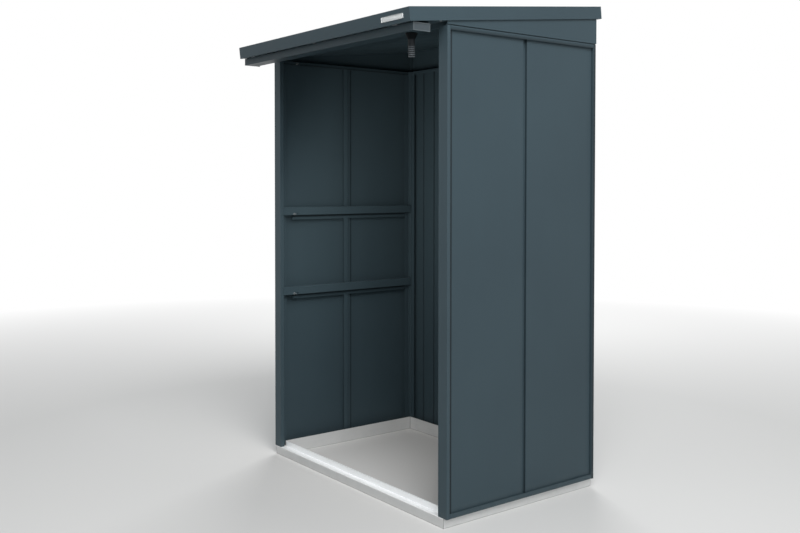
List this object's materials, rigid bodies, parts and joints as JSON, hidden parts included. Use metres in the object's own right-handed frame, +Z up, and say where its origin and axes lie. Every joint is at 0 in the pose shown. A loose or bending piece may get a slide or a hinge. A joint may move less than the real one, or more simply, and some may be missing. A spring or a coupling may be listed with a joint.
{
  "type": "free-standing metal log store with an open front",
  "caption": "Free-standing log store: folded steel side and back walls on an aluminium base ring, an open front, and a lean-to roof with fascia, gutter and drain spout.",
  "frame": {"origin": "on the ground, under the middle of the roof", "axes": "+Z up, the open front faces -Y, +X to the right seen from the front"},
  "size_m": [1.25, 1.0398, 2.029],
  "materials": {
    "steel_paint": "satin anthracite paint on folded steel sheet",
    "roof_paint": "satin anthracite paint on the roof panels",
    "base_profile": "mill finish, fine drawing lines along the profile",
    "end_cap": "matt grey moulded plastic",
    "spout": "matt dark grey ribbed plastic",
    "outlet": "matt black moulded plastic",
    "zinc": "bright zinc plate on screws and bolts, which are in the visual model only",
    "enamel": "white enamel on the bare plate, which is in the visual model only"
  },
  "bodies": {
    "root": {"back_wall_bottom_rail": "steel_paint", "back_wall_left_panel": "steel_paint", "back_wall_middle_panel": "steel_paint", "back_wall_right_panel": "steel_paint", "back_wall_top_rail": "steel_paint", "drain_spout": "spout", "front_base_rail": "base_profile", "front_fascia": "steel_paint", "front_header": "steel_paint", "gutter": "steel_paint", "gutter_outlet": "outlet", "left_base_rail": "base_profile", "left_fascia": "steel_paint", "left_front_post": "steel_paint", "left_gable": "steel_paint", "left_gutter_cap": "end_cap", "left_lower_shelf_rail": "steel_paint", "left_rear_post": "steel_paint", "left_upper_shelf_rail": "steel_paint", "left_wall_bottom_rail": "steel_paint", "left_wall_front_panel": "steel_paint", "left_wall_rear_panel": "steel_paint", "left_wall_top_rail": "steel_paint", "rear_base_rail": "base_profile", "rear_fascia": "steel_paint", "rear_header": "steel_paint", "right_base_rail": "base_profile", "right_fascia": "steel_paint", "right_front_post": "steel_paint", "right_gable": "steel_paint", "right_gutter_cap": "end_cap", "right_lower_shelf_rail": "steel_paint", "right_rear_post": "steel_paint", "right_upper_shelf_rail": "steel_paint", "right_wall_bottom_rail": "steel_paint", "right_wall_front_panel": "steel_paint", "right_wall_rear_panel": "steel_paint", "right_wall_top_rail": "steel_paint", "roof_left_panel": "roof_paint", "roof_middle_panel": "roof_paint", "roof_right_panel": "roof_paint"}
  },
  "joints": []
}
